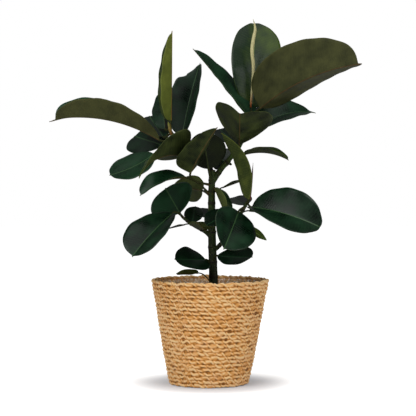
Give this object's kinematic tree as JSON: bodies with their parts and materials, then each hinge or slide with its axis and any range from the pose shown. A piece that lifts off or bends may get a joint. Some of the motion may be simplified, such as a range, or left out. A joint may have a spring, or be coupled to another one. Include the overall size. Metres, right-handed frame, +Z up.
{
  "type": "potted rubber plant",
  "caption": "Rubber plant with large dark oval leaves on a branched upright stem, in a nursery pot and soil inside a tapered basket of coiled seagrass rope.",
  "frame": {"origin": "centre of the basket's underside, on the surface that it stands on", "axes": "+Z up along the basket's axis, -Y towards the viewer of the front, +X to the viewer's right"},
  "size_m": [0.6677, 0.3326, 0.8005],
  "materials": {
    "seagrass": "dry twisted grass rope, matt straw brown",
    "liner_film": "thin clear film with soft glints",
    "pot_plastic": "black moulded nursery plastic",
    "soil": "dark crumbly potting soil",
    "bark": "green-brown young bark with ring scars",
    "leaf": "thick dark green blade, waxy above, olive and matt below",
    "leaf_young": "young yellow-green blade with an orange midrib",
    "cream_sheath": "dry cream bud sheath",
    "red_sheath": "red-brown bud sheath"
  },
  "bodies": {
    "root": {"basket": "seagrass", "liner": "liner_film", "nursery_pot": "pot_plastic", "soil": "soil", "stem": "bark", "left_crown_leaf_1": "leaf", "left_crown_leaf_2": "leaf", "left_crown_leaf_3": "leaf", "left_crown_leaf_4": "leaf", "left_crown_leaf_5": "leaf_young", "left_crown_leaf_6": "leaf", "left_crown_leaf_7": "leaf", "left_crown_leaf_8": "leaf", "right_crown_leaf_1": "leaf", "right_crown_leaf_2": "leaf", "right_crown_leaf_3": "leaf", "right_crown_leaf_4": "leaf", "right_crown_leaf_5": "leaf", "right_crown_leaf_6": "leaf", "right_crown_leaf_7": "leaf", "centre_leaf_1": "leaf", "centre_leaf_2": "leaf", "centre_leaf_3": "leaf", "right_side_leaf_1": "leaf", "right_side_leaf_2": "leaf", "right_side_leaf_3": "leaf_young", "right_side_leaf_4": "leaf", "right_side_leaf_5": "leaf", "right_side_leaf_6": "leaf", "left_side_leaf_1": "leaf", "left_side_leaf_2": "leaf", "left_side_leaf_3": "leaf", "left_side_leaf_4": "leaf", "trunk_leaf_1": "leaf", "trunk_leaf_2": "leaf", "trunk_leaf_3": "leaf", "trunk_leaf_4": "leaf", "trunk_leaf_5": "leaf", "trunk_leaf_6": "leaf", "trunk_leaf_7": "leaf", "low_leaf_1": "leaf", "low_leaf_2": "leaf", "low_leaf_3": "leaf", "right_crown_bud_sheath": "cream_sheath", "right_side_bud_sheath": "red_sheath", "left_crown_bud_sheath": "leaf_young"}
  },
  "joints": []
}
